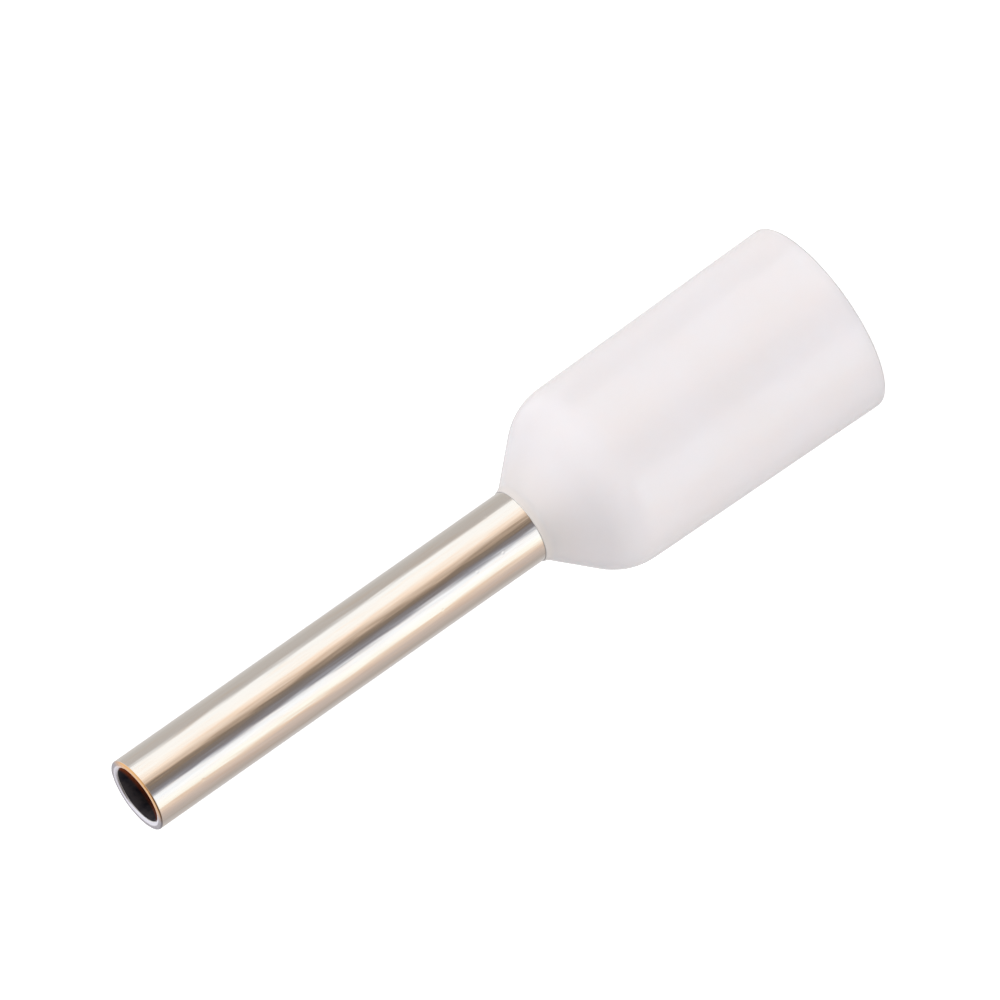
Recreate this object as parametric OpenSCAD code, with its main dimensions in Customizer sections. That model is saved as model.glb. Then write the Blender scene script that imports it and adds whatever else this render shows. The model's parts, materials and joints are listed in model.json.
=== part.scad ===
// Insulated wire ferrule (bootlace ferrule) for one fine-stranded conductor of 0.5 mm2.
//
// A tinned copper sleeve takes the stripped strands. A moulded plastic collar is pressed on
// its flared end and takes the end of the wire's insulation.
// Z runs along the axis, from the centre of the collar's open mouth to the sleeve's tip.

/* [Sleeve] */
// Bore that takes the stripped strands
sleeve_bore = 1; // [0.8:0.05:1.2]
// Wall of the drawn tube
sleeve_wall = 0.15; // [0.1:0.01:0.18]
// Length of sleeve left bare in front of the collar
bare_length = 7.85; // [6:0.05:18]
// Radius that the cut leaves on the outer edge of the tip
tip_outer_round = 0.03; // [0.01:0.01:0.05]
// Radius that the cut leaves on the inner edge of the tip
tip_inner_round = 0.07; // [0.02:0.01:0.08]
// Radial growth of the flared inner end
flare_width = 0.42; // [0.2:0.02:0.48]

/* [Collar] */
// Length from the open mouth to the end of the lip
collar_length = 6.15; // [5:0.05:8]
// Outer diameter at the open mouth
mouth_od = 3.43; // [3.2:0.01:4]
// Outer diameter where the body runs into the shoulder
shoulder_od = 3.27; // [3.1:0.01:3.8]
// Length of the conical shoulder along the axis
shoulder_length = 1.035; // [0.9:0.005:1.4]
// Radius that blends the body into the shoulder
shoulder_blend = 1.15; // [0.3:0.05:1.3]
// Wall of the shoulder, square to its cone
shoulder_wall = 0.34; // [0.28:0.01:0.42]
// Wall at the end of the lip, which clasps the sleeve
lip_wall = 0.02; // [0.015:0.005:0.1]
// Radial widening of the tapered lip towards the shoulder
lip_flare = 0.03; // [0.02:0.005:0.06]
// Length of the lip beyond the shoulder's narrow end
lip_length = 0.1; // [0.05:0.01:0.2]
// Radius on the outer edge of the lip
lip_round = 0.01; // [0.005:0.005:0.015]
// Radius on the outer edge of the mouth
mouth_round = 0.05; // [0.03:0.01:0.1]

/* [Collar bore] */
// Parallel bore that holds the wire's insulation
collar_bore = 2.6; // [2.45:0.05:2.75]
// Radius between the bore and the conical floor
floor_blend = 0.25; // [0.05:0.05:0.3]
// Depth of the tapered entry at the mouth
entry_depth = 1.6; // [0.5:0.1:2.5]
// Radial widening of the entry at the mouth
entry_flare = 0.09; // [0.02:0.01:0.12]
// Radius on the inner edge of the mouth
entry_round = 0.05; // [0.02:0.01:0.08]

/* [Fit] */
// Radius of the collar's inner edge that the flare bends round
seat_round = 0.25; // [0.1:0.01:0.35]
// Gap left between the sleeve and the collar
fit_clearance = 0.005; // [0:0.005:0.03]

/* [Hidden] */
$fn = 72;

ROUND_ANGLE = 7; // most that one straight step of a rounded corner turns, in degrees
ROUND_LENGTH = 0.02; // length below which such a step is not divided further

sleeve_bore_r = sleeve_bore / 2;
sleeve_r = sleeve_bore_r + sleeve_wall;
flare_r = sleeve_r + flare_width;
tip_z = collar_length + bare_length;

hole_r = sleeve_r + fit_clearance;
lip_r = hole_r + lip_wall;
neck_r = lip_r + lip_flare;
neck_z = collar_length - lip_length;
mouth_r = mouth_od / 2;
shoulder_r = shoulder_od / 2;
shoulder_z = neck_z - shoulder_length;
shoulder_angle = atan2(shoulder_r - neck_r, shoulder_length);
bore_r = collar_bore / 2;

// Depths of the nested cones below the shoulder's outer face, square to it.
flare_depth = shoulder_wall + fit_clearance;
funnel_depth = flare_depth + sleeve_wall;

// Radii of the bend, on the sleeve's outside and in its bore.
bend_outer_round = seat_round + fit_clearance;
bend_inner_round = bend_outer_round + sleeve_wall;

// Height at which the cone that lies depth below the shoulder's outer face has radius r.
function cone_z(r, depth) =
    neck_z - (r - neck_r + depth / cos(shoulder_angle)) / tan(shoulder_angle);

// Point of that same cone at radius r.
function cone_point(r, depth) = [r, cone_z(r, depth)];

function unit(v) = v / norm(v);

// Points that round the corner at b, between a and c, with radius r.
function rounded(a, b, c, r) =
    let (
        to_a = unit(a - b),
        to_c = unit(c - b),
        half = acos(to_a * to_c) / 2,
        centre = b + unit(to_a + to_c) * r / sin(half),
        from = b + to_a * r / tan(half) - centre,
        angle = 180 - 2 * half,
        turn = sign(cross(to_a, to_c)) * -angle,
        steps = ceil(min(angle / ROUND_ANGLE, angle * PI / 180 * r / ROUND_LENGTH))
    )
    [
        for (i = [0 : steps])
            let (t = turn * i / steps)
            centre + [from.x * cos(t) - from.y * sin(t), from.x * sin(t) + from.y * cos(t)]
    ];

// Moulded collar: tapered body, blended shoulder and thin lip around a stepped bore.
module collar() {
    entry = [bore_r + entry_flare, 0];
    entry_end = [bore_r, entry_depth];
    mouth = [mouth_r, 0];
    shoulder = [shoulder_r, shoulder_z];
    neck = [neck_r, neck_z];
    lip_end = [lip_r, collar_length];
    hole_end = [hole_r, collar_length];
    seat = cone_point(hole_r, shoulder_wall);
    floor_edge = cone_point(bore_r, shoulder_wall);

    color([0.93, 0.91, 0.91])
        rotate_extrude()
            polygon(concat(
                rounded(entry_end, entry, mouth, entry_round),
                rounded(entry, mouth, shoulder, mouth_round),
                rounded(mouth, shoulder, neck, shoulder_blend),
                [neck],
                rounded(neck, lip_end, hole_end, lip_round),
                [hole_end],
                rounded(hole_end, seat, floor_edge, seat_round),
                rounded(seat, floor_edge, entry_end, floor_blend),
                [entry_end]
            ));
}

// Drawn tube: straight from the tip to the collar's floor, then flared on the collar's cone.
module sleeve() {
    tip_inside = [sleeve_bore_r, tip_z];
    tip_outside = [sleeve_r, tip_z];
    bend_outside = cone_point(sleeve_r, flare_depth);
    bend_inside = cone_point(sleeve_bore_r, funnel_depth);
    lip_outside = cone_point(flare_r, flare_depth);
    lip_inside = lip_outside - sleeve_wall * [cos(shoulder_angle), sin(shoulder_angle)];

    color([0.86, 0.82, 0.77])
        rotate_extrude()
            polygon(concat(
                rounded(bend_inside, tip_inside, tip_outside, tip_inner_round),
                rounded(tip_inside, tip_outside, bend_outside, tip_outer_round),
                rounded(tip_outside, bend_outside, lip_outside, bend_outer_round),
                [lip_outside, lip_inside],
                rounded(lip_inside, bend_inside, tip_inside, bend_inner_round)
            ));
}

collar();
sleeve();
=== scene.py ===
"""Looks of an insulated wire ferrule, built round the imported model's frame.

The ferrule stands on its collar's mouth, with +Z along its axis. Two pieces make it: a drawn
and tinned copper sleeve with a flared inner end, and a moulded plastic collar seated on that
flare. Both are rings, so each is one closed section turned about the axis. Lengths are metres.
"""

import json
import logging
import math
from dataclasses import dataclass, field
from enum import Enum
from typing import Any

import bpy
from mathutils import Matrix, Vector


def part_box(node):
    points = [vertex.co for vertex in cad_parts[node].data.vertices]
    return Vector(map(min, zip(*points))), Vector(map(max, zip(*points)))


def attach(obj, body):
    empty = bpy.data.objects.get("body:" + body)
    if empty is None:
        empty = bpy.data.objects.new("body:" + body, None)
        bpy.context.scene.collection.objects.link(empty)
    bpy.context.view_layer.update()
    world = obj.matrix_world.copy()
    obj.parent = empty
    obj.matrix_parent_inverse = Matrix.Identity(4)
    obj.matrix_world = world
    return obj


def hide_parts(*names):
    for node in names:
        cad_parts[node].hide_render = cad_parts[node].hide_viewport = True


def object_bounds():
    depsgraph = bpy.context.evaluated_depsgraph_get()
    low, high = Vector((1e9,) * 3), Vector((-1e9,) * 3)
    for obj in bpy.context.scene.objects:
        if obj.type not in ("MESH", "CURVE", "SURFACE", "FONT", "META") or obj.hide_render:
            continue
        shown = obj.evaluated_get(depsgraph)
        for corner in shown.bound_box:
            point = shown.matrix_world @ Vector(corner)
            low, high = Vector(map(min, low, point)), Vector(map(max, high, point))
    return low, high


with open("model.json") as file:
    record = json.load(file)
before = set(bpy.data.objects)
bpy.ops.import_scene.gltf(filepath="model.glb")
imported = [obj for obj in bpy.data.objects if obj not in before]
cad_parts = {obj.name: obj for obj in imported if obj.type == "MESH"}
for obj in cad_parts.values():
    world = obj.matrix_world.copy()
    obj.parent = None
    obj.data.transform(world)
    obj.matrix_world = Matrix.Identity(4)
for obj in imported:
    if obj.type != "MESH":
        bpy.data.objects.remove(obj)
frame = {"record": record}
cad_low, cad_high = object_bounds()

MM = 0.001
BODY = "root"

log = logging.getLogger("ferrule")

Band = tuple[float, float]
Colour = tuple[float, float, float]
Triple = tuple[float, float, float]
Socket = bpy.types.NodeSocket

# Socket kinds of the node groups' inputs and outputs.
NUMBER = "NodeSocketFloat"
VECTOR = "NodeSocketVector"


class Axis(Enum):
    """Index of a coordinate in a vector."""

    X = 0
    Y = 1
    Z = 2


class RayKind(Enum):
    """Kinds of light ray that an object can be shown to or hidden from."""

    CAMERA = "visible_camera"
    DIFFUSE = "visible_diffuse"
    GLOSSY = "visible_glossy"
    TRANSMISSION = "visible_transmission"
    SHADOW = "visible_shadow"


def show_only_to(piece: bpy.types.Object, *kinds: RayKind) -> None:
    """Hide a stage object from every kind of ray but the given ones.

    Args:
        piece: The object to set.
        kinds: The rays that still see it.
    """
    for kind in RayKind:
        setattr(piece, kind.value, kind in kinds)


def mount_radius(name: str) -> float:
    """Give the radius of one of the record's round mounts.

    Args:
        name: The mount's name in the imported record.

    Returns:
        Its radius in metres.
    """
    mounts = {mount["name"]: mount for mount in frame["record"]["mounts"]}
    return mounts[name]["dims"]["r_mm"] * MM


# --------------------------------------------------------------------------- sections


@dataclass(frozen=True)
class Corner:
    """One corner of a section: its radius from the axis, its height and its rounding."""

    r: float
    z: float
    rounding: float = 0.01 * MM


@dataclass
class Section:
    """Closed outline of a ring's wall, with every corner rounded.

    Attributes:
        corners: The corners in order round the wall.
        angle_step: Largest turn between two points of a rounded corner, in radians.
        length_step: Largest distance between two points of a straight stretch.
    """

    corners: list[Corner]
    angle_step: float = math.radians(4)
    length_step: float = 0.12 * MM

    def rounded_corner(self, index: int) -> list[Vector]:
        """Give the points of one corner's arc.

        Args:
            index: The corner's place in the list.

        Returns:
            Points in the plane of radius and height, in order.
        """
        before, here, after = (self.corners[(index + step) % len(self.corners)] for step in (-1, 0, 1))
        corner = Vector((here.r, here.z))
        to_before = (Vector((before.r, before.z)) - corner).normalized()
        to_after = (Vector((after.r, after.z)) - corner).normalized()
        half = to_before.angle(to_after) / 2
        centre = corner + (to_before + to_after).normalized() * here.rounding / math.sin(half)
        start = corner + to_before * here.rounding / math.tan(half) - centre
        turn = (math.pi - 2 * half) * (-1 if to_before.cross(to_after) > 0 else 1)
        steps = max(3, math.ceil(abs(turn) / self.angle_step))
        return [centre + Matrix.Rotation(turn * i / steps, 2) @ start for i in range(steps + 1)]

    def outline(self) -> list[Vector]:
        """Give the whole outline: arcs joined by straight stretches in even steps.

        Returns:
            Points in the plane of radius and height, in order, without a repeated end.
        """
        arcs = [self.rounded_corner(index) for index in range(len(self.corners))]
        points: list[Vector] = []
        for arc, following in zip(arcs, arcs[1:] + arcs[:1]):
            points += arc
            points += self.straight(arc[-1], following[0], (arc[-1] - arc[-2]).length)
        return points

    def straight(self, start: Vector, end: Vector, margin: float) -> list[Vector]:
        """Give the points between two arcs, with one close to each so that the arcs shade crisply.

        Args:
            start: Last point of the arc before.
            end: First point of the arc after.
            margin: Distance of the close points from the arcs.

        Returns:
            The points between start and end, without either.
        """
        length = (end - start).length
        if length < 3 * margin:
            return []
        steps = math.ceil((length - 2 * margin) / self.length_step)
        shares = [(margin + (length - 2 * margin) * i / steps) / length for i in range(steps + 1)]
        return [start.lerp(end, share) for share in shares]


# --------------------------------------------------------------------- node building


class NodeGraph:
    """Thin typed layer over a node tree that keeps building code short."""

    def __init__(self, tree: bpy.types.NodeTree) -> None:
        """Wrap a tree.

        Args:
            tree: The node tree to add nodes to.
        """
        self.tree = tree

    def add(self, kind: str, inputs: dict[str | int, Any] | None = None, **settings: Any) -> bpy.types.Node:
        """Add a node, set it up and feed its inputs.

        Args:
            kind: The node's type name.
            inputs: Values or sockets for its inputs, by name or place.
            settings: Attributes of the node.

        Returns:
            The new node.
        """
        node = self.tree.nodes.new(kind)
        for name, value in settings.items():
            setattr(node, name, value)
        for key, value in (inputs or {}).items():
            self.feed(node.inputs[key], value)
        return node

    def feed(self, target: Socket, value: Any) -> None:
        """Link a socket to an input, or set the input's own value.

        Args:
            target: The input socket.
            value: A socket to link from, or a plain value.
        """
        if isinstance(value, Socket):
            self.tree.links.new(value, target)
        else:
            target.default_value = value

    def math(self, operation: str, first: Any, second: Any = 0.0, clamp: bool = False) -> Socket:
        """Add a math node.

        Args:
            operation: Its operation, such as MULTIPLY.
            first: First value or socket.
            second: Second value or socket.
            clamp: Whether the result is held between 0 and 1.

        Returns:
            The result.
        """
        node = self.add("ShaderNodeMath", {0: first, 1: second}, operation=operation, use_clamp=clamp)
        return node.outputs[0]

    def vector(self, operation: str, first: Any, second: Any = None) -> Socket:
        """Add a vector math node.

        Args:
            operation: Its operation, such as ADD.
            first: First vector.
            second: Second vector, or the factor where the operation is SCALE.

        Returns:
            The result, which is a number for LENGTH and DOT_PRODUCT.
        """
        node = self.add("ShaderNodeVectorMath", {0: first}, operation=operation)
        if second is not None:
            self.feed(node.inputs["Scale" if operation == "SCALE" else 1], second)
        return node.outputs["Value" if operation in ("LENGTH", "DOT_PRODUCT") else "Vector"]

    def ramp(self, value: Any, start: Any, end: Any, first: float = 0.0, last: float = 1.0) -> Socket:
        """Add a smooth step from one value to another.

        Args:
            value: What is mapped.
            start: Where the step starts.
            end: Where the step ends, above or below the start.
            first: Result at the start and on its far side.
            last: Result at the end and on its far side.

        Returns:
            The mapped value.
        """
        keys = {"Value": value, "From Min": start, "From Max": end, "To Min": first, "To Max": last}
        return self.add("ShaderNodeMapRange", keys, interpolation_type="SMOOTHSTEP").outputs["Result"]

    def band(self, value: Any, origin: float, limits: Band) -> Socket:
        """Add a smooth step from 0 to 1 between two distances from an origin.

        Args:
            value: What is mapped.
            origin: Value from which the limits are measured.
            limits: Where the step starts and ends.

        Returns:
            The step.
        """
        return self.ramp(value, origin + limits[0], origin + limits[1])

    def mix_colour(self, factor: Any, first: Any, second: Any) -> Socket:
        """Mix two colours.

        Args:
            factor: Share of the second colour.
            first: Colour or socket at a factor of 0.
            second: Colour or socket at a factor of 1.

        Returns:
            The mixed colour.
        """
        node = self.add("ShaderNodeMix", data_type="RGBA")
        colours = [s for s in node.inputs if s.type == "RGBA"]
        self.feed(node.inputs["Factor"], factor)
        for target, value in zip(colours, (first, second)):
            self.feed(target, value if isinstance(value, Socket) else (*value, 1.0))
        return next(s for s in node.outputs if s.type == "RGBA")


def shader_group(
    name: str, inputs: dict[str, tuple[str, Any]], outputs: dict[str, str]
) -> tuple[bpy.types.NodeTree, NodeGraph, Any, Any]:
    """Start a shader node group with named sockets.

    Args:
        name: The group's name.
        inputs: Socket kind and default value by input name.
        outputs: Socket kind by output name.

    Returns:
        The group, its graph, and the sockets inside it that carry its inputs and take its outputs.
    """
    group = bpy.data.node_groups.new(name, "ShaderNodeTree")
    for label, (kind, default) in inputs.items():
        socket = group.interface.new_socket(name=label, in_out="INPUT", socket_type=kind)
        if default is not None:
            socket.default_value = default
    for label, kind in outputs.items():
        group.interface.new_socket(name=label, in_out="OUTPUT", socket_type=kind)
    graph = NodeGraph(group)
    return group, graph, graph.add("NodeGroupInput").outputs, graph.add("NodeGroupOutput").inputs


# ---------------------------------------------------------------------- shared effects


@dataclass
class SurfaceEffects:
    """Shader node groups that more than one finish uses, each built once.

    Attributes:
        axial: Place on the piece as radius, height and direction from the axis.
        grain: Fine lines that run along or round the axis.
        marks: Sparse small pits or short scratches.
        mottle: Soft cloudy change of tone.
    """

    axial: bpy.types.NodeTree = field(init=False)
    grain: bpy.types.NodeTree = field(init=False)
    marks: bpy.types.NodeTree = field(init=False)
    mottle: bpy.types.NodeTree = field(init=False)

    def __post_init__(self) -> None:
        """Build every group."""
        self.axial = self.build_axial()
        self.grain = self.build_grain()
        self.marks = self.build_marks()
        self.mottle = self.build_mottle()

    def build_axial(self) -> bpy.types.NodeTree:
        """Build the group that turns Object coordinates into radius, height and direction.

        Returns:
            The group, which puts out lengths in millimetres.
        """
        group, graph, source, sink = shader_group(
            "Axial place",
            {"Position": (VECTOR, None)},
            {"Radius": NUMBER, "Height": NUMBER, "Direction": VECTOR},
        )
        scaled = graph.vector("SCALE", source["Position"], 1 / MM)
        parts = graph.add("ShaderNodeSeparateXYZ", {0: scaled}).outputs
        flat = graph.add("ShaderNodeCombineXYZ", {0: parts[0], 1: parts[1]}).outputs[0]
        graph.feed(sink["Radius"], graph.vector("LENGTH", flat))
        graph.feed(sink["Height"], parts[2])
        graph.feed(sink["Direction"], graph.vector("NORMALIZE", flat))
        return group

    def build_grain(self) -> bpy.types.NodeTree:
        """Build the group of fine lines.

        Returns:
            The group. Lines is how many features fit round the axis, Run how many along a millimetre.
        """
        group, graph, source, sink = shader_group(
            "Grain lines",
            {
                "Direction": (VECTOR, None),
                "Height": (NUMBER, 0.0),
                "Lines": (NUMBER, 20.0),
                "Run": (NUMBER, 0.2),
                "Detail": (NUMBER, 3.0),
                "Seed": (NUMBER, 0.0),
            },
            {"Value": NUMBER},
        )
        around = graph.vector("SCALE", source["Direction"], source["Lines"])
        along = graph.math("MULTIPLY", source["Height"], source["Run"])
        lifted = graph.add("ShaderNodeCombineXYZ", {2: graph.math("ADD", along, source["Seed"])})
        place = graph.vector("ADD", around, lifted.outputs[0])
        keys = {"Vector": place, "Scale": 1.0, "Detail": source["Detail"], "Roughness": 0.6}
        graph.feed(sink["Value"], graph.add("ShaderNodeTexNoise", keys).outputs[0])
        return group

    def build_marks(self) -> bpy.types.NodeTree:
        """Build the group of sparse marks: round dots, or short scratches where the pattern is stretched.

        Returns:
            The group, with a mask that is 1 in the middle of a mark.
        """
        group, graph, source, sink = shader_group(
            "Sparse marks",
            {
                "Position": (VECTOR, None),
                "Per Millimetre": (VECTOR, (4.0, 4.0, 4.0)),
                "Turn": (VECTOR, (0.0, 0.0, 0.0)),
                "Size": (NUMBER, 0.1),
                "Coverage": (NUMBER, 0.3),
            },
            {"Mask": NUMBER},
        )
        turned = graph.add(
            "ShaderNodeVectorRotate",
            {"Vector": source["Position"], "Rotation": source["Turn"]},
            rotation_type="EULER_XYZ",
        )
        stretched = graph.vector("MULTIPLY", turned.outputs[0], source["Per Millimetre"])
        cells = graph.add("ShaderNodeTexVoronoi", {"Vector": stretched, "Scale": 1 / MM}).outputs
        mark = graph.ramp(cells["Distance"], source["Size"], 0.0)
        lot = graph.add("ShaderNodeSeparateColor", {0: cells["Color"]}).outputs[0]
        kept = graph.math("LESS_THAN", lot, source["Coverage"])
        graph.feed(sink["Mask"], graph.math("MULTIPLY", mark, kept))
        return group

    def build_mottle(self) -> bpy.types.NodeTree:
        """Build the group of cloudy tone.

        Returns:
            The group, with a value centred on 0.5 that Contrast spreads.
        """
        group, graph, source, sink = shader_group(
            "Mottle",
            {
                "Position": (VECTOR, None),
                "Per Millimetre": (NUMBER, 0.5),
                "Contrast": (NUMBER, 1.0),
            },
            {"Value": NUMBER},
        )
        scale = graph.math("MULTIPLY", source["Per Millimetre"], 1 / MM)
        noise = graph.add("ShaderNodeTexNoise", {"Vector": source["Position"], "Scale": scale, "Detail": 3.0})
        centred = graph.math("SUBTRACT", noise.outputs[0], 0.5)
        spread = graph.math("MULTIPLY", centred, source["Contrast"])
        graph.feed(sink["Value"], graph.math("ADD", spread, 0.5, clamp=True))
        return group


class Surface(NodeGraph):
    """A piece's material while it is built: its graph and its coordinates."""

    def __init__(self, name: str, effects: SurfaceEffects) -> None:
        """Start a material with Object coordinates and a Principled BSDF.

        Args:
            name: The material's name.
            effects: The shared groups.
        """
        self.material = bpy.data.materials.new(name)
        self.material.use_nodes = True
        super().__init__(self.material.node_tree)
        self.effects = effects
        self.position = self.add("ShaderNodeTexCoord").outputs["Object"]
        self.axial = self.group(effects.axial, {"Position": self.position}).outputs

    def group(self, tree: bpy.types.NodeTree, inputs: dict[str, Any]) -> bpy.types.Node:
        """Place a shared group with this material's own values.

        Args:
            tree: The group.
            inputs: Values or sockets by input name.

        Returns:
            The group node.
        """
        return self.add("ShaderNodeGroup", inputs, node_tree=tree)

    def grain(self, lines: float, run: float, detail: float = 3.0, seed: float = 0.0) -> Socket:
        """Place the grain group.

        Args:
            lines: Features round the axis.
            run: Features along a millimetre of height.
            detail: Octaves of the noise.
            seed: Offset that makes another pattern.

        Returns:
            The grain's value.
        """
        inputs = {
            "Direction": self.axial["Direction"],
            "Height": self.axial["Height"],
            "Lines": lines,
            "Run": run,
            "Detail": detail,
            "Seed": seed,
        }
        return self.group(self.effects.grain, inputs).outputs["Value"]

    def marks(self, per_mm: Triple, turn: Triple, size: float, coverage: float) -> Socket:
        """Place the marks group.

        Args:
            per_mm: Cells of the pattern along each axis of a millimetre; a small one stretches the marks.
            turn: Rotation of the pattern in radians.
            size: Radius of a mark, in cells.
            coverage: Share of the cells that hold a mark.

        Returns:
            The marks' mask.
        """
        inputs = {
            "Position": self.position,
            "Per Millimetre": per_mm,
            "Turn": turn,
            "Size": size,
            "Coverage": coverage,
        }
        return self.group(self.effects.marks, inputs).outputs["Mask"]

    def mottle(self, per_mm: float, contrast: float) -> Socket:
        """Place the mottle group.

        Args:
            per_mm: Clouds in a millimetre.
            contrast: Spread of their tone.

        Returns:
            The clouds' value.
        """
        inputs = {"Position": self.position, "Per Millimetre": per_mm, "Contrast": contrast}
        return self.group(self.effects.mottle, inputs).outputs["Value"]

    def bump(self, height: Socket, depth: float, below: Socket | None = None) -> Socket:
        """Raise the surface's normals by a height.

        Args:
            height: The height pattern, from 0 to 1.
            depth: What a height of 1 means, in metres.
            below: The normal of an earlier bump.

        Returns:
            The new normal.
        """
        node = self.add("ShaderNodeBump", {"Height": height, "Strength": 1.0, "Distance": depth})
        if below is not None:
            self.feed(node.inputs["Normal"], below)
        return node.outputs[0]

    def dress(self, inputs: dict[str, Any]) -> bpy.types.Material:
        """Feed the material's own shader.

        Args:
            inputs: Values or sockets by input name.

        Returns:
            The finished material.
        """
        shader = self.tree.nodes["Principled BSDF"]
        for label, value in inputs.items():
            self.feed(shader.inputs[label], value)
        return self.material


# ---------------------------------------------------------------------------- finishes


@dataclass(frozen=True)
class TinnedCopper:
    """Bright tin plating on drawn copper, with painted light and shade at the cut edge and in the bore.

    Attributes:
        bore_radius: Radius of the bore.
        tip_height: Height of the cut end.
        tin: Colour of the plating.
        warm_tin: Colour where the plating is thin over the copper.
        inner_edge_painted_highlight: Colour of the painted highlight on the cut's inner edge.
        outer_edge_painted_shade: Colour of the painted shade, a mirrored dark, on the cut's outer edge.
        copper: Colour of the cut's bare copper, painted brightly as a reflection on the camera's side only.
        bore_painted_shade: Near black painted shade at the mouth of the bore.
        bore_painted_blotch: Colour of its paler painted blotches of light.
        bore_painted_glow: Painted warm glow of reflected light deeper in the bore.
        bore_band: Millimetres outside the bore over which its painted shade and non-metal finish set in.
        edge_shade_band: Millimetres outside the bore over which painted highlight gives way to painted shade.
        cut_band: Millimetres above the tip over which the cut's painted highlight, shade and reflection set
            in.
        copper_reflection_side: Direction of the side on which the cut shows the painted copper reflection.
        copper_reflection_band: How near that direction, up to 1, over which the painted copper reflection
            sets in.
        glow_slope: Direction square to the painted glow's slanting edge, scaled to give millimetres.
        glow_band: Millimetres above the tip, measured so, over which the painted glow sets in.
    """

    bore_radius: float
    tip_height: float
    tin: Colour = (0.93, 0.905, 0.87)
    warm_tin: Colour = (0.93, 0.86, 0.79)
    inner_edge_painted_highlight: Colour = (0.95, 0.94, 0.98)
    outer_edge_painted_shade: Colour = (0.42, 0.40, 0.41)
    copper: Colour = (1.00, 0.58, 0.25)
    bore_painted_shade: Colour = (0.012, 0.012, 0.018)
    bore_painted_blotch: Colour = (0.042, 0.037, 0.040)
    bore_painted_glow: Colour = (0.28, 0.06, 0.015)
    bore_band: Band = (0.014, 0.004)
    edge_shade_band: Band = (0.055, 0.085)
    cut_band: Band = (-0.045, -0.025)
    copper_reflection_side: Triple = (0.22, -0.975, 0.0)
    copper_reflection_band: Band = (0.12, 0.80)
    glow_slope: Triple = (-0.04 / MM, 0.50 / MM, 1.0 / MM)
    glow_band: Band = (0.0, -0.08)

    def build(self, effects: SurfaceEffects) -> bpy.types.Material:
        """Make the material.

        Args:
            effects: The shared groups.

        Returns:
            The finished material.
        """
        surface = Surface("tinned_copper", effects)
        in_bore = surface.band(surface.axial["Radius"], self.bore_radius / MM, self.bore_band)
        return surface.dress(
            {
                "Base Color": self.colour(surface, in_bore),
                # In the bore the metal turns rough and non-metallic, so that its painted shade stays dark.
                "Metallic": surface.math("SUBTRACT", 1.0, in_bore),
                "Roughness": surface.math("MAXIMUM", self.roughness(surface), in_bore),
                "Normal": self.relief(surface),
            }
        )

    def colour(self, surface: Surface, in_bore: Socket) -> Socket:
        """Mix the plating with the cut edge's and the bore's painted light and shade.

        Args:
            surface: The material being built.
            in_bore: Mask of the bore.

        Returns:
            The base colour.
        """
        tip = self.tip_height / MM
        thin = surface.ramp(surface.grain(lines=6.0, run=0.8, seed=3.0), start=0.45, end=0.75)
        plated = surface.mix_colour(thin, self.tin, self.warm_tin)
        # Painted light on the cut: a painted highlight on the inner edge gives way to painted shade on the
        # outer edge.
        outer = surface.band(surface.axial["Radius"], self.bore_radius / MM, self.edge_shade_band)
        cut = surface.mix_colour(outer, self.inner_edge_painted_highlight, self.outer_edge_painted_shade)
        # The cut's copper shows only on the camera's side, where it is painted as a bright reflection.
        sideways = surface.vector("DOT_PRODUCT", surface.axial["Direction"], self.copper_reflection_side)
        edge = surface.mix_colour(surface.ramp(sideways, *self.copper_reflection_band), cut, self.copper)
        at_cut = surface.band(surface.axial["Height"], tip, self.cut_band)
        outside = surface.mix_colour(at_cut, plated, edge)
        # Painted glow: warm reflected light painted on the bore's wall deeper in, with a slanting edge.
        slant = surface.vector("DOT_PRODUCT", surface.position, self.glow_slope)
        glow_mask = surface.band(slant, tip, self.glow_band)
        # Painted shade: the bore is near black, with paler painted blotches of light.
        blotched_shade = surface.mix_colour(surface.mottle(per_mm=7.0, contrast=4.0), self.bore_painted_shade, self.bore_painted_blotch)
        inside = surface.mix_colour(glow_mask, blotched_shade, self.bore_painted_glow)
        return surface.mix_colour(in_bore, outside, inside)

    def roughness(self, surface: Surface) -> Socket:
        """Let the drawing lines break up the gloss.

        Args:
            surface: The material being built.

        Returns:
            The roughness.
        """
        lines = surface.grain(lines=14.0, run=0.9, seed=11.0)
        return surface.ramp(lines, start=0.35, end=0.70, first=0.10, last=0.18)

    def relief(self, surface: Surface) -> Socket:
        """Lay the drawing waves and lines, scratches and pits over each other.

        Args:
            surface: The material being built.

        Returns:
            The normal.
        """
        waves = surface.grain(lines=3.0, run=0.45, detail=2.0, seed=1.0)
        lines = surface.grain(lines=18.0, run=0.9, seed=7.0)
        scratches = surface.marks(per_mm=(3.0, 3.0, 0.35), turn=(0.35, 0.2, 0.0), size=0.07, coverage=0.16)
        pits = surface.marks(per_mm=(5.0, 5.0, 5.0), turn=(0.0, 0.0, 0.0), size=0.20, coverage=0.10)
        drawn = surface.bump(lines, depth=0.0010 * MM, below=surface.bump(waves, depth=0.010 * MM))
        scratched = surface.bump(scratches, depth=-0.0012 * MM, below=drawn)
        return surface.bump(pits, depth=-0.0020 * MM, below=scratched)


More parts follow.
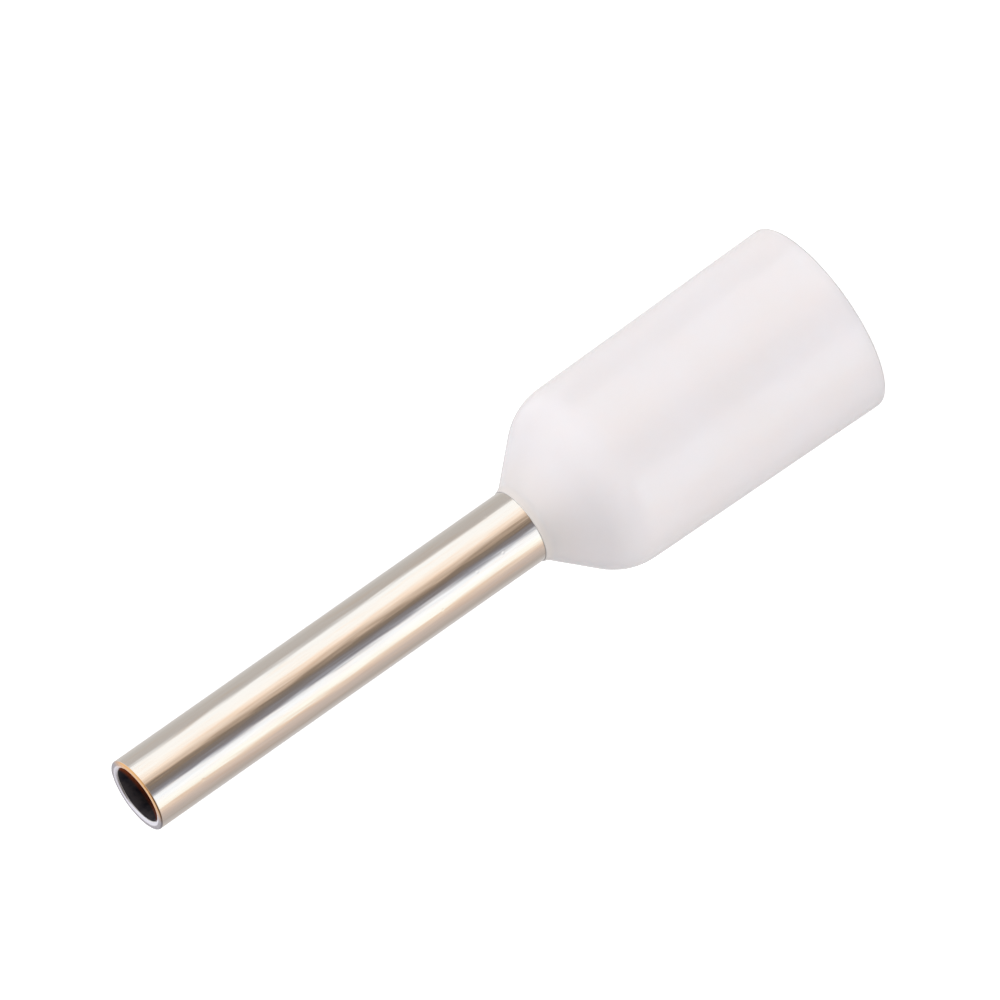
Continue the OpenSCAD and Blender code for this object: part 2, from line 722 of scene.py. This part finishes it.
@dataclass(frozen=True)
class MouldedPlastic:
    """Semi-gloss white polypropylene, slightly translucent.

    Attributes:
        lip_radius: Radius of the thin lip, round which the painted shade and highlight are placed.
        tone: Main colour.
        warm_tone: Colour of the faint warmer clouds.
        neck_painted_shade: Colour of the shoulder close to the lip, painted darker as shade near the neck.
        lip_painted_shade: Colour of the lip, painted darker as shade and warm as the metal's reflection.
        rim_painted_highlight: Colour of the lip's end face, painted light as a highlight over its shade.
        neck_shade_band: Millimetres outside the lip's radius over which neck_painted_shade sets in.
        lip_band: Millimetres outside the lip's radius over which lip_painted_shade sets in.
        rim_band: Millimetres outside the lip's radius over which rim_painted_highlight sets in.
        scatter: Share of the light that scatters inside the wall, away from the lip.
        scatter_colour: How far red, green and blue light go in the wall, as shares of scatter_depth.
        scatter_depth: How far light goes in the wall.
        index: Index of refraction.
        sheen: Strength of the surface's mirroring.
    """

    lip_radius: float
    tone: Colour = (0.86, 0.825, 0.85)
    warm_tone: Colour = (0.86, 0.81, 0.815)
    neck_painted_shade: Colour = (0.825, 0.765, 0.755)
    lip_painted_shade: Colour = (0.735, 0.68, 0.65)
    rim_painted_highlight: Colour = (0.95, 0.92, 0.90)
    neck_shade_band: Band = (0.60, 0.0)
    lip_band: Band = (0.06, 0.01)
    rim_band: Band = (0.0, -0.01)
    scatter: float = 0.35
    scatter_colour: Colour = (1.0, 0.85, 0.8)
    scatter_depth: float = 0.35 * MM
    index: float = 1.49
    sheen: float = 0.75

    def build(self, effects: SurfaceEffects) -> bpy.types.Material:
        """Make the material.

        Args:
            effects: The shared groups.

        Returns:
            The finished material.
        """
        surface = Surface("white_plastic", effects)
        cloud = surface.mottle(per_mm=0.8, contrast=2.0)
        neck_shade_mask, on_lip, on_rim = (
            surface.band(surface.axial["Radius"], self.lip_radius / MM, limits)
            for limits in (self.neck_shade_band, self.lip_band, self.rim_band)
        )
        walled = surface.mix_colour(cloud, self.tone, self.warm_tone)
        # Painted shade: the shoulder darkens towards the neck, where the sleeve meets it.
        neck_shaded = surface.mix_colour(neck_shade_mask, walled, self.neck_painted_shade)
        # The lip gets painted shade with a warm painted reflection of the metal, and its end face gets a
        # painted highlight.
        lip_painted_tones = surface.mix_colour(on_rim, self.lip_painted_shade, self.rim_painted_highlight)
        return surface.dress(
            {
                "Base Color": surface.mix_colour(on_lip, neck_shaded, lip_painted_tones),
                "Roughness": surface.ramp(cloud, start=0.0, end=1.0, first=0.07, last=0.11),
                "Normal": self.relief(surface),
                "IOR": self.index,
                "Specular IOR Level": self.sheen,
                "Subsurface Weight": surface.ramp(on_lip, start=0.0, end=1.0, first=self.scatter, last=0.0),
                "Subsurface Radius": self.scatter_colour,
                "Subsurface Scale": self.scatter_depth,
            }
        )

    def relief(self, surface: Surface) -> Socket:
        """Lay the mould's faint texture, handling scratches and small dents over each other.

        Args:
            surface: The material being built.

        Returns:
            The normal.
        """
        texture = surface.mottle(per_mm=1.4, contrast=1.0)
        scratches = surface.marks(per_mm=(1.4, 1.4, 0.16), turn=(0.9, 0.5, 0.3), size=0.035, coverage=0.20)
        dents = surface.marks(per_mm=(1.1, 1.1, 1.1), turn=(0.0, 0.0, 0.0), size=0.16, coverage=0.12)
        moulded = surface.bump(texture, depth=0.006 * MM)
        scratched = surface.bump(scratches, depth=-0.0015 * MM, below=moulded)
        return surface.bump(dents, depth=-0.004 * MM, below=scratched)


# ------------------------------------------------------------------------ turned pieces


class TurnTree:
    """Geometry Nodes tree that turns a section about the Z axis into a closed ring.

    The turned surface may sink a little, never rise, in a soft pattern, as a drawn or moulded
    wall does. The cut end can be worn unevenly.
    """

    INPUTS: dict[str, tuple[str, Any]] = {
        "Section": ("NodeSocketGeometry", None),
        "Segments": ("NodeSocketInt", 192),
        "Turning Radius": (NUMBER, 1 * MM),
        "Waviness": (NUMBER, 0.0),
        "Waves Around": (NUMBER, 1.0),
        "Waves Along": (NUMBER, 1.0),
        "Cut Height": (NUMBER, 0.0),
        "Cut Depth": (NUMBER, 0.1 * MM),
        "Cut Wear": (NUMBER, 0.0),
        "Seed": (NUMBER, 0.0),
        "Material": ("NodeSocketMaterial", None),
    }

    def __init__(self) -> None:
        """Build the tree."""
        self.tree = bpy.data.node_groups.new("Turn section", "GeometryNodeTree")
        self.identifiers: dict[str, str] = {}
        for label, (kind, default) in self.INPUTS.items():
            socket = self.tree.interface.new_socket(name=label, in_out="INPUT", socket_type=kind)
            if default is not None:
                socket.default_value = default
            self.identifiers[label] = socket.identifier
        self.tree.interface.new_socket(name="Ring", in_out="OUTPUT", socket_type="NodeSocketGeometry")
        self.graph = NodeGraph(self.tree)
        self.source = self.graph.add("NodeGroupInput")
        self.finish(self.wear(self.turn()))

    def value(self, label: str) -> Socket:
        """Give one of the tree's named inputs.

        Args:
            label: The input's name.

        Returns:
            The socket that carries its value.
        """
        return self.source.outputs[label]

    def turn(self) -> Socket:
        """Sweep the section, drawn as radius and height in XY, round a circle.

        Returns:
            The swept mesh.
        """
        graph = self.graph
        outwards = graph.math("MULTIPLY", self.value("Turning Radius"), -1.0)
        shift = graph.add("ShaderNodeCombineXYZ", {0: outwards})
        section = graph.add(
            "GeometryNodeTransform",
            {"Geometry": self.value("Section"), "Translation": shift.outputs[0], "Scale": (1.0, -1.0, 1.0)},
        )
        profile = graph.add("GeometryNodeMeshToCurve", {0: section.outputs[0]})
        path = graph.add(
            "GeometryNodeCurvePrimitiveCircle",
            {"Resolution": self.value("Segments"), "Radius": self.value("Turning Radius")},
        )
        swept = graph.add(
            "GeometryNodeCurveToMesh", {"Curve": path.outputs[0], "Profile Curve": profile.outputs[0]}
        )
        return graph.add("GeometryNodeFlipFaces", {0: swept.outputs[0]}).outputs[0]

    def noise(self, around: Any, along: Any, seed_step: float) -> Socket:
        """Add a noise whose grain differs round and along the axis.

        Args:
            around: Features per metre across the axis.
            along: Features per metre along it.
            seed_step: Keeps two noises of one tree apart.

        Returns:
            A value from 0 to 1.
        """
        graph = self.graph
        stretch = graph.add("ShaderNodeCombineXYZ", {0: around, 1: around, 2: along}).outputs[0]
        place = graph.vector("MULTIPLY", graph.add("GeometryNodeInputPosition").outputs[0], stretch)
        seed = graph.math("ADD", self.value("Seed"), seed_step)
        keys = {"Vector": place, "W": seed, "Scale": 1.0, "Detail": 2.0}
        return graph.add("ShaderNodeTexNoise", keys, noise_dimensions="4D").outputs[0]

    def wear(self, ring: Socket) -> Socket:
        """Sink the wall in soft waves and wear the cut end.

        Args:
            ring: The swept mesh.

        Returns:
            The worn mesh.
        """
        graph = self.graph
        waves = self.noise(self.value("Waves Around"), self.value("Waves Along"), seed_step=0.0)
        sink = graph.math("MULTIPLY", waves, self.value("Waviness"))
        normal = graph.add("GeometryNodeInputNormal").outputs[0]
        inward = graph.vector("SCALE", normal, graph.math("MULTIPLY", sink, -1.0))
        height = graph.add("ShaderNodeSeparateXYZ", {0: graph.add("GeometryNodeInputPosition").outputs[0]})
        below = graph.math("SUBTRACT", self.value("Cut Height"), height.outputs[2])
        near = graph.math("SUBTRACT", 1.0, graph.math("DIVIDE", below, self.value("Cut Depth")), clamp=True)
        nicks = self.noise(around=2.5 / MM, along=2.5 / MM, seed_step=5.0)
        bite = graph.math("MULTIPLY", nicks, self.value("Cut Wear"))
        lowering = graph.math("MULTIPLY", graph.math("MULTIPLY", near, bite), -1.0)
        down = graph.add("ShaderNodeCombineXYZ", {2: lowering})
        offset = graph.vector("ADD", inward, down.outputs[0])
        return graph.add("GeometryNodeSetPosition", {"Geometry": ring, "Offset": offset}).outputs[0]

    def finish(self, ring: Socket) -> None:
        """Smooth the shading, realise the mesh and give it the material.

        Args:
            ring: The worn mesh.
        """
        graph = self.graph
        smooth = graph.add("GeometryNodeSetShadeSmooth", {"Geometry": ring, "Shade Smooth": True})
        real = graph.add("GeometryNodeRealizeInstances", {0: smooth.outputs[0]})
        painted = graph.add(
            "GeometryNodeSetMaterial", {"Geometry": real.outputs[0], "Material": self.value("Material")}
        )
        graph.feed(graph.add("NodeGroupOutput").inputs[0], painted.outputs[0])

    def make(self, name: str, section: Section, values: dict[str, Any]) -> bpy.types.Object:
        """Turn a section into a finished mesh object.

        Args:
            name: Name of the new piece.
            section: The section to turn.
            values: Values for the tree's inputs by name.

        Returns:
            The piece, a plain mesh at the origin.
        """
        points = section.outline()
        edges = [(i, (i + 1) % len(points)) for i in range(len(points))]
        drawn = bpy.data.meshes.new(f"{name}_section")
        drawn.from_pydata([(p.x, p.y, 0.0) for p in points], edges, [])
        carrier = bpy.data.objects.new(f"{name}_section", drawn)
        bpy.context.scene.collection.objects.link(carrier)
        modifier = carrier.modifiers.new("Turn", "NODES")
        modifier.node_group = self.tree
        for label, value in values.items():
            modifier[self.identifiers[label]] = value
        evaluated = carrier.evaluated_get(bpy.context.evaluated_depsgraph_get())
        mesh = bpy.data.meshes.new_from_object(evaluated)
        bpy.data.objects.remove(carrier)
        bpy.data.meshes.remove(drawn)
        mesh.name = name
        piece = bpy.data.objects.new(name, mesh)
        bpy.context.scene.collection.objects.link(piece)
        return piece


@dataclass
class Collar:
    """The moulded insulating collar: tapered body, blended shoulder, thin lip, stepped bore.

    Attributes:
        sleeve_radius: Outer radius of the sleeve that it grips.
        bore_radius: Radius of the parallel bore.
        mouth_radius: Outer radius at the mouth.
        length: Length from the mouth to the end of the lip.
        shoulder_radius: Outer radius where the body's taper meets the shoulder, without the blend.
        shoulder_length: Height of the shoulder's cone.
        shoulder_blend: Radius of the blend between the body and the cone.
        shoulder_wall: Wall of the shoulder, square to its cone.
        lip_wall: Wall at the end of the lip.
        lip_flare: How much wider the lip is at the cone than at its end, in radius.
        lip_length: Length of the lip.
        lip_round: Round of the lip's outer edge.
        hole_round: Round of its inner edge.
        neck_blend: Radius of the blend between the cone and the lip.
        mouth_round: Round of the mouth's outer edge.
        entry_depth: Length over which the bore narrows from the mouth.
        entry_flare: How much wider the bore is at the mouth, in radius.
        entry_round: Round of the entry's two edges.
        floor_blend: Radius of the blend between the bore and its conical floor.
        seat_round: Round of the edge that the sleeve's flare bends over.
        clearance: Gap left between the collar and the sleeve.
        segments: Facets round the axis.
    """

    sleeve_radius: float
    bore_radius: float
    mouth_radius: float
    length: float
    shoulder_radius: float = 1.635 * MM
    shoulder_length: float = 1.035 * MM
    shoulder_blend: float = 1.15 * MM
    shoulder_wall: float = 0.34 * MM
    lip_wall: float = 0.02 * MM
    lip_flare: float = 0.03 * MM
    lip_length: float = 0.1 * MM
    lip_round: float = 0.016 * MM
    hole_round: float = 0.004 * MM
    neck_blend: float = 0.3 * MM
    mouth_round: float = 0.05 * MM
    entry_depth: float = 1.6 * MM
    entry_flare: float = 0.09 * MM
    entry_round: float = 0.05 * MM
    floor_blend: float = 0.25 * MM
    seat_round: float = 0.25 * MM
    clearance: float = 0.001 * MM
    segments: int = 224

    @property
    def hole_radius(self) -> float:
        """Radius of the hole that the sleeve passes."""
        return self.sleeve_radius + self.clearance

    @property
    def lip_radius(self) -> float:
        """Outer radius at the end of the lip, which clasps the sleeve."""
        return self.hole_radius + self.lip_wall

    @property
    def neck_radius(self) -> float:
        """Outer radius where the lip meets the shoulder's cone."""
        return self.lip_radius + self.lip_flare

    @property
    def neck(self) -> float:
        """Height at which the shoulder's cone meets the lip."""
        return self.length - self.lip_length

    @property
    def shoulder_angle(self) -> float:
        """Angle between the shoulder's cone and the axis."""
        return math.atan2(self.shoulder_radius - self.neck_radius, self.shoulder_length)

    def cone_height(self, radius: float, depth: float) -> float:
        """Give the height of a cone nested below the shoulder's outer face.

        Args:
            radius: Radius at which the height is asked.
            depth: Distance of the cone below the outer face, square to it.

        Returns:
            The height.
        """
        run = radius - self.neck_radius + depth / math.cos(self.shoulder_angle)
        return self.neck - run / math.tan(self.shoulder_angle)

    def section(self) -> Section:
        """Draw the wall's section.

        Returns:
            The section, from the mouth's inner edge up the outside and down the bore.
        """
        seat_height, floor_height = (
            self.cone_height(radius, self.shoulder_wall) for radius in (self.hole_radius, self.bore_radius)
        )
        return Section(
            [
                Corner(self.bore_radius + self.entry_flare, 0.0, self.entry_round),
                Corner(self.mouth_radius, 0.0, self.mouth_round),
                Corner(self.shoulder_radius, self.neck - self.shoulder_length, self.shoulder_blend),
                Corner(self.neck_radius, self.neck, self.neck_blend),
                Corner(self.lip_radius, self.length, self.lip_round),
                Corner(self.hole_radius, self.length, self.hole_round),
                Corner(self.hole_radius, seat_height, self.seat_round),
                Corner(self.bore_radius, floor_height, self.floor_blend),
                Corner(self.bore_radius, self.entry_depth, self.entry_round),
            ]
        )

    def build(self, turner: TurnTree, plastic: bpy.types.Material) -> bpy.types.Object:
        """Turn and dress the collar, and let it stand for its node.

        Args:
            turner: The tree that turns sections.
            plastic: Its finish.

        Returns:
            The finished piece.
        """
        values = {
            "Segments": self.segments,
            "Waviness": 0.004 * MM,
            "Waves Around": 0.5 / MM,
            "Waves Along": 0.35 / MM,
            "Seed": 4.0,
            "Material": plastic,
        }
        return seat(turner.make("collar_shell", self.section(), values), "collar")


@dataclass
class Sleeve:
    """The drawn metal sleeve: straight tube, cut at the tip, flared on the collar's cone.

    Attributes:
        collar: The collar that it seats in.
        bore_radius: Radius of its bore.
        radius: Its outer radius.
        tip: Height of its cut end.
        flare_radius: Outer radius of the flared end.
        tip_outer_round: Round of the cut's outer edge.
        tip_inner_round: Round of its inner edge.
        segments: Facets round the axis.
    """

    collar: Collar
    bore_radius: float
    radius: float
    tip: float
    flare_radius: float
    tip_outer_round: float = 0.03 * MM
    tip_inner_round: float = 0.07 * MM
    segments: int = 192

    @property
    def wall(self) -> float:
        """Wall of the tube."""
        return self.radius - self.bore_radius

    def section(self) -> Section:
        """Draw the wall's section.

        Returns:
            The section, from the cut's inner edge down the outside and up the bore.
        """
        cone_height, angle = self.collar.cone_height, self.collar.shoulder_angle
        seat_depth = self.collar.shoulder_wall + self.collar.clearance
        bend = self.collar.seat_round + self.collar.clearance
        flare_height = cone_height(self.flare_radius, seat_depth)
        rim_radius = self.flare_radius - self.wall * math.cos(angle)
        rim_height = flare_height - self.wall * math.sin(angle)
        throat_height = cone_height(self.bore_radius, seat_depth + self.wall)
        return Section(
            [
                Corner(self.bore_radius, self.tip, self.tip_inner_round),
                Corner(self.radius, self.tip, self.tip_outer_round),
                Corner(self.radius, cone_height(self.radius, seat_depth), bend),
                Corner(self.flare_radius, flare_height),
                Corner(rim_radius, rim_height),
                Corner(self.bore_radius, throat_height, bend + self.wall),
            ]
        )

    def build(self, turner: TurnTree, metal: bpy.types.Material) -> bpy.types.Object:
        """Turn and dress the sleeve, and let it stand for its node.

        Args:
            turner: The tree that turns sections.
            metal: Its finish.

        Returns:
            The finished piece.
        """
        values = {
            "Segments": self.segments,
            "Waviness": 0.002 * MM,
            "Waves Around": 1.6 / MM,
            "Waves Along": 0.3 / MM,
            "Cut Height": self.tip,
            "Cut Depth": 0.12 * MM,
            "Cut Wear": 0.025 * MM,
            "Seed": 9.0,
            "Material": metal,
        }
        return seat(turner.make("drawn_sleeve", self.section(), values), "sleeve")


def seat(piece: bpy.types.Object, node: str) -> bpy.types.Object:
    """Make a piece stand for a node of the frame.

    Args:
        piece: The finished piece.
        node: The node that it replaces.

    Returns:
        The piece.
    """
    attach(piece, BODY)
    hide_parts(node)
    log.info("%s: %d faces, stands for %s", piece.name, len(piece.data.polygons), node)
    return piece


# ------------------------------------------------------------------------------ studio


@dataclass(frozen=True)
class Tone:
    """Brightness of the light tent's wall at one place round the object.

    Attributes:
        degrees: Angle from the camera's side, growing towards its left hand.
        colour: Brightness of the wall there.
    """

    degrees: float
    colour: Colour


@dataclass(frozen=True)
class Softbox:
    """A square lamp that faces the object.

    Attributes:
        name: The lamp's name.
        azimuth: Degrees from the camera's side, growing towards its left hand.
        elevation: Degrees above the horizon.
        power: Power in watts.
        size: Side of the lamp.
        distance: Distance from the object.
    """

    name: str
    azimuth: float
    elevation: float
    power: float
    size: float = 200 * MM
    distance: float = 330 * MM


@dataclass
class Studio:
    """White floor, light tent, lamps and camera.

    Attributes:
        centre: Middle of the object.
        height: Height of the object.
        elevation: Height angle of the camera above the horizon, in degrees.
        roll: Turn of the camera about its own axis, in degrees.
        distance: Distance of the camera from the object.
        view_height: Height of the view at the object.
        aim_right: Sideways offset of the view's middle from the object's, in the view's axes.
        aim_up: Upward offset, in the view's axes.
        world_light: Brightness of the surroundings that light the object.
        tent_radius: Distance of the tent's wall from the object.
        tent_edge: Height angle at which the tent's lower wall gives way to its upper wall, in degrees.
        tent_softness: Half the height over which it does so, as a share of the tent's radius.
        floor_reach: Half the floor's side, in heights of the object.
        floor_tone: Colour of the floor's matt paint.
        floor_glow: Glow that lifts the paint to white where it is seen directly.
        lower_wall: Tones of the lower wall, which the upright sides mirror.
        upper_wall: Tones of the upper wall, which the sloping faces mirror.
        softboxes: The lamps.
    """

    centre: Vector
    height: float
    elevation: float = 18.0
    roll: float = -125.03
    distance: float = 500 * MM
    view_height: float = 15.953 * MM
    aim_right: float = 0.338 * MM
    aim_up: float = 0.887 * MM
    world_light: float = 0.10
    tent_radius: float = 150 * MM
    tent_edge: float = -7.0
    tent_softness: float = 0.1
    floor_reach: float = 20.0
    floor_tone: Colour = (0.70, 0.70, 0.70)
    floor_glow: float = 0.75
    lower_wall: tuple[Tone, ...] = (
        Tone(-180, (0.75, 0.74, 0.74)),
        Tone(-125, (0.54, 0.51, 0.48)),
        Tone(-98, (0.52, 0.48, 0.45)),
        Tone(-88, (0.52, 0.49, 0.47)),
        Tone(-76, (1.04, 1.04, 1.03)),
        Tone(-44, (1.08, 1.05, 1.00)),
        Tone(-31, (1.02, 0.86, 0.72)),
        Tone(-13, (0.64, 0.49, 0.38)),
        Tone(-4, (0.25, 0.19, 0.14)),
        Tone(10, (0.20, 0.175, 0.165)),
        Tone(23, (0.29, 0.29, 0.33)),
        Tone(36, (1.02, 1.05, 1.10)),
        Tone(50, (1.10, 1.12, 1.14)),
        Tone(66, (1.10, 1.09, 1.00)),
        Tone(76, (0.88, 0.70, 0.56)),
        Tone(94, (0.64, 0.53, 0.47)),
        Tone(125, (0.46, 0.41, 0.38)),
        Tone(180, (0.75, 0.74, 0.74)),
    )
    upper_wall: tuple[Tone, ...] = (
        Tone(-180, (0.80, 0.78, 0.82)),
        Tone(-90, (0.85, 0.86, 0.90)),
        Tone(-20, (0.60, 0.58, 0.58)),
        Tone(40, (0.15, 0.13, 0.12)),
        Tone(100, (0.15, 0.13, 0.12)),
        Tone(180, (0.80, 0.78, 0.82)),
    )
    softboxes: tuple[Softbox, ...] = (
        Softbox("right_softbox", azimuth=-65, elevation=8, power=0.65),
        Softbox("left_softbox", azimuth=39, elevation=8, power=1.10),
        Softbox("high_softbox", azimuth=-100, elevation=25, power=0.62),
        Softbox("back_softbox", azimuth=140, elevation=8, power=0.34),
    )

    def build(self) -> None:
        """Build the whole studio."""
        self.world()
        self.floor()
        self.tent()
        for softbox in self.softboxes:
            self.lamp(softbox)
        self.camera()

    @staticmethod
    def direction(azimuth: float, elevation: float) -> Vector:
        """Give the direction of a place seen from the object.

        Args:
            azimuth: Degrees from the camera's side, growing towards its left hand.
            elevation: Degrees above the horizon.

        Returns:
            A unit vector.
        """
        a, e = math.radians(azimuth), math.radians(elevation)
        return Vector((-math.sin(a) * math.cos(e), -math.cos(a) * math.cos(e), math.sin(e)))

    def world(self) -> None:
        """Light the object evenly and show white to the camera and to reflections."""
        world = bpy.data.worlds.new("studio")
        world.use_nodes = True
        graph = NodeGraph(world.node_tree)
        background = world.node_tree.nodes["Background"]
        background.inputs["Color"].default_value = (1.0, 1.0, 1.0, 1.0)
        seen = seen_directly(graph)
        graph.feed(background.inputs["Strength"], graph.ramp(seen, 0.0, 1.0, self.world_light, 1.0))
        bpy.context.scene.world = world

    def floor(self) -> None:
        """Lay the white floor, which shows the object's shadow and vanishes from below."""
        half = self.floor_reach * self.height
        mesh = bpy.data.meshes.new("floor")
        corners = [(-half, -half, 0.0), (half, -half, 0.0), (half, half, 0.0), (-half, half, 0.0)]
        mesh.from_pydata(corners, [], [(0, 1, 2, 3)])
        floor = bpy.data.objects.new("floor", mesh)
        floor.data.materials.append(self.floor_paint())
        floor.visible_glossy = False
        bpy.context.scene.collection.objects.link(floor)

    def floor_paint(self) -> bpy.types.Material:
        """Make the floor's paint: pale matt, lifted to white where it is seen directly.

        Returns:
            The material.
        """
        material, graph, surface = stage_material("floor_paint")
        matt = graph.add("ShaderNodeBsdfDiffuse", {"Color": (*self.floor_tone, 1.0)})
        glow = graph.add("ShaderNodeEmission", {"Color": (1.0, 1.0, 1.0, 1.0)})
        graph.feed(glow.inputs["Strength"], graph.math("MULTIPLY", seen_directly(graph), self.floor_glow))
        lit = graph.add("ShaderNodeAddShader", {0: matt.outputs[0], 1: glow.outputs[0]})
        clear = graph.add("ShaderNodeBsdfTransparent")
        back = graph.add("ShaderNodeNewGeometry").outputs["Backfacing"]
        mixed = graph.add("ShaderNodeMixShader", {0: back, 1: lit.outputs[0], 2: clear.outputs[0]})
        graph.feed(surface, mixed.outputs[0])
        return material

    def tent(self) -> None:
        """Stand the light tent round the object, seen only in reflections."""
        bpy.ops.mesh.primitive_uv_sphere_add(
            segments=96, ring_count=48, radius=self.tent_radius, location=self.centre
        )
        tent = bpy.context.object
        tent.name = "light_tent"
        tent.data.materials.append(self.tent_cloth())
        show_only_to(tent, RayKind.GLOSSY)

    def tent_cloth(self) -> bpy.types.Material:
        """Make the tent's wall, whose brightness changes round the object and with height.

        Returns:
            The material.
        """
        material, graph, surface = stage_material("tent_cloth")
        place = graph.add("ShaderNodeSeparateXYZ", {0: graph.add("ShaderNodeTexCoord").outputs["Object"]})
        left = graph.math("MULTIPLY", place.outputs[Axis.X.value], -1.0)
        front = graph.math("MULTIPLY", place.outputs[Axis.Y.value], -1.0)
        turn = graph.math("DIVIDE", graph.math("ARCTAN2", left, front), 2 * math.pi)
        edge = self.tent_radius * math.sin(math.radians(self.tent_edge))
        soft = self.tent_softness * self.tent_radius
        above = graph.ramp(place.outputs[Axis.Z.value], edge - soft, edge + soft)
        lower, upper = (self.wall_tones(graph, turn, tones) for tones in (self.lower_wall, self.upper_wall))
        cloth = graph.mix_colour(above, lower, upper)
        glow = graph.add("ShaderNodeEmission", {"Color": cloth, "Strength": 1.0})
        graph.feed(surface, glow.outputs[0])
        return material

    @staticmethod
    def wall_tones(graph: NodeGraph, turn: Socket, tones: tuple[Tone, ...]) -> Socket:
        """Spread a wall's tones round the object.

        Args:
            graph: The tent's graph.
            turn: Place round the object, from -0.5 to 0.5 with the camera's side in the middle.
            tones: The wall's tones, by growing angle.

        Returns:
            The wall's colour.
        """
        ramp = graph.add("ShaderNodeValToRGB", {"Fac": graph.math("ADD", turn, 0.5)})
        stops = ramp.color_ramp.elements
        while len(stops) < len(tones):
            stops.new(0.5)
        for stop, tone in zip(stops, tones):
            stop.position = tone.degrees / 360 + 0.5
            stop.color = (*tone.colour, 1.0)
        return ramp.outputs[0]

    def lamp(self, softbox: Softbox) -> None:
        """Hang a softbox, which lights the object but isn't mirrored in it.

        Args:
            softbox: What to hang.
        """
        light = bpy.data.lights.new(softbox.name, "AREA")
        light.shape = "SQUARE"
        light.size = softbox.size
        light.energy = softbox.power
        lamp = bpy.data.objects.new(softbox.name, light)
        towards = self.direction(softbox.azimuth, softbox.elevation)
        lamp.location = self.centre + towards * softbox.distance
        lamp.rotation_mode = "QUATERNION"
        lamp.rotation_quaternion = (-towards).to_track_quat("-Z", "Y")
        show_only_to(lamp, RayKind.DIFFUSE, RayKind.TRANSMISSION, RayKind.SHADOW)
        bpy.context.scene.collection.objects.link(lamp)

    def camera(self) -> None:
        """Place the camera: long lens, a little above the object, rolled so the tip points down left."""
        data = bpy.data.cameras.new("camera")
        half_view = self.view_height / 2 / self.distance
        data.lens = data.sensor_width / 2 / half_view
        data.clip_start = 0.1 * self.distance
        data.clip_end = 10 * self.distance
        back = self.direction(0, self.elevation)
        upright = (-back).to_track_quat("-Z", "Y").to_matrix()
        turned = upright @ Matrix.Rotation(math.radians(self.roll), 3, "Z")
        offset = turned.col[Axis.X.value] * self.aim_right + turned.col[Axis.Y.value] * self.aim_up
        place = self.centre + offset + back * self.distance
        camera = bpy.data.objects.new("camera", data)
        camera.matrix_world = Matrix.Translation(place) @ turned.to_4x4()
        bpy.context.scene.collection.objects.link(camera)
        bpy.context.scene.camera = camera


def stage_material(name: str) -> tuple[bpy.types.Material, NodeGraph, Socket]:
    """Start a material of the studio, with no shader yet.

    Args:
        name: The material's name.

    Returns:
        The material, its graph and the input that takes its shader.
    """
    material = bpy.data.materials.new(name)
    material.use_nodes = True
    graph = NodeGraph(material.node_tree)
    graph.tree.nodes.remove(graph.tree.nodes["Principled BSDF"])
    return material, graph, graph.tree.nodes["Material Output"].inputs["Surface"]


def seen_directly(graph: NodeGraph) -> Socket:
    """Tell rays that show the background from those that light the object.

    Args:
        graph: The tree that needs to know.

    Returns:
        1 for camera, glossy and transmission rays, and 0 for the rest.
    """
    path = graph.add("ShaderNodeLightPath")
    mirrored = graph.math("ADD", path.outputs["Is Glossy Ray"], path.outputs["Is Transmission Ray"])
    return graph.math("ADD", path.outputs["Is Camera Ray"], mirrored, clamp=True)


# -------------------------------------------------------------------------------- main


def main() -> None:
    """Build the pieces in order, then the studio round them."""
    logging.basicConfig(level=logging.INFO, format="%(message)s")
    bpy.context.scene.view_settings.view_transform = "Standard"
    collar_low, collar_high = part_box("collar")
    sleeve_low, sleeve_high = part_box("sleeve")

    collar = Collar(
        sleeve_radius=mount_radius("sleeve_pin"),
        bore_radius=mount_radius("insulation_bore"),
        mouth_radius=(collar_high.y - collar_low.y) / 2,
        length=collar_high.z,
    )
    sleeve = Sleeve(
        collar=collar,
        bore_radius=mount_radius("strand_bore"),
        radius=mount_radius("sleeve_pin"),
        tip=sleeve_high.z,
        flare_radius=(sleeve_high.x - sleeve_low.x) / 2,
    )

    effects = SurfaceEffects()
    turner = TurnTree()
    collar.build(turner, MouldedPlastic(collar.lip_radius).build(effects))
    sleeve.build(turner, TinnedCopper(sleeve.bore_radius, sleeve.tip).build(effects))

    Studio(centre=(cad_low + cad_high) / 2, height=cad_high.z - cad_low.z).build()


if __name__ == "__main__":
    main()
